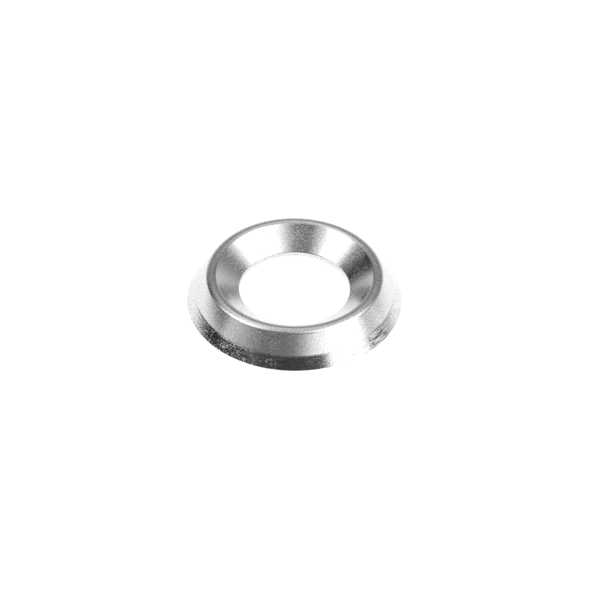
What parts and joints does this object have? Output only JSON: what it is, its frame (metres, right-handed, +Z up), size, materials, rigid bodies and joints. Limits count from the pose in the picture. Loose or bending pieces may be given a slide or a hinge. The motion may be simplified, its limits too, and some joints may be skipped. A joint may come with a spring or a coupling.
{
  "type": "finishing cup washer",
  "caption": "Pressed cup washer: a countersunk cup with a through hole, a rounded crest, and a steep wall flaring to a flat foot, to sit under a countersunk screw head.",
  "frame": {"origin": "on the washer's axis, in the plane that the foot stands on", "axes": "+Z up along the axis, from the foot to the crest; X and Y lie level"},
  "size_m": [0.015, 0.015, 0.0025],
  "materials": {
    "nickel_plate": "gloss"
  },
  "bodies": {
    "root": {"cup_washer": "nickel_plate"}
  },
  "joints": []
}
